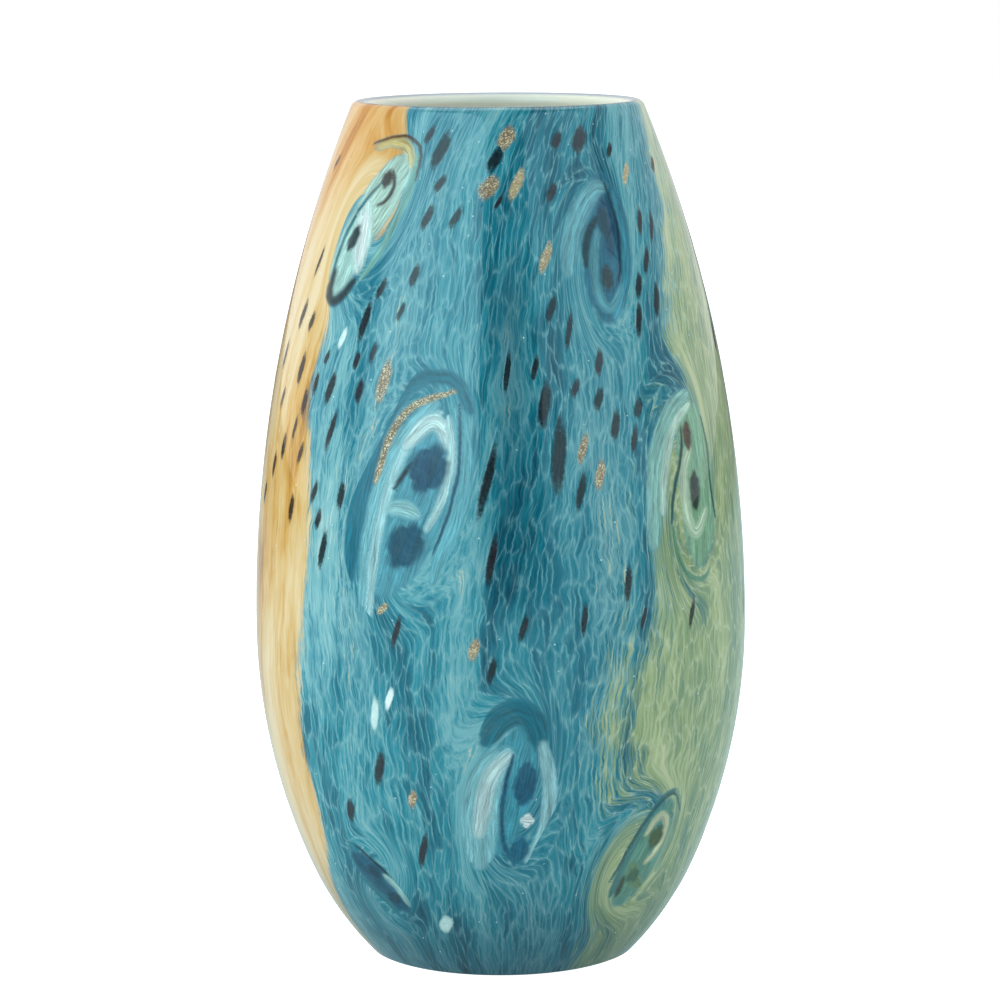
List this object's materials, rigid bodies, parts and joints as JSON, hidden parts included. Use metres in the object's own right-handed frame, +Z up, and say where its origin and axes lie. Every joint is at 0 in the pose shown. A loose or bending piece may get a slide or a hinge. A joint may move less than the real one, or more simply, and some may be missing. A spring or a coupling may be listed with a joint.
{
  "type": "glass vase",
  "caption": "Hand blown barrel vase in blue, amber and green cased art glass with hooked twirls, dark and gold chips and an opal lining",
  "frame": {"origin": "centre of the ground base, on the face it stands on", "axes": "+Z up through the mouth; -Y is the front, with the large middle twirl just left of it; +X is the viewer's right, the green side"},
  "size_m": [0.172, 0.172, 0.3],
  "materials": {
    "clear": "fire-polished clear crystal, gloss",
    "opal": "opal white, gloss",
    "blue": "crushed blue and teal frit under clear glass, gloss",
    "green": "crushed sage and yellow-green frit under clear glass, gloss",
    "amber": "streaked honey-amber frit under clear glass, gloss",
    "aqua": "pale aqua and teal streaks under clear glass, gloss",
    "teal": "deep teal, gloss",
    "dark": "purple-black, gloss",
    "aventurine": "goldstone with copper flecks, gloss",
    "pale": "white and pale aqua, gloss"
  },
  "bodies": {
    "root": {"clear_casing": "clear", "opal_lining": "opal", "blue_front_field": "blue", "green_field": "green", "blue_back_field": "blue", "amber_field": "amber", "twirl_left_top": "aqua", "twirl_right_top": "aqua", "twirl_middle": "aqua", "twirl_right": "aqua", "twirl_foot": "aqua", "twirl_foot_right": "aqua", "twirl_foot_left": "aqua", "twirl_back_right_top": "aqua", "twirl_back_right": "aqua", "twirl_back_top": "aqua", "twirl_back_foot": "aqua", "twirl_back_left": "aqua", "twirl_eyes": "teal", "dark_chips": "dark", "gold_chips": "aventurine", "pale_chips": "pale"}
  },
  "joints": []
}
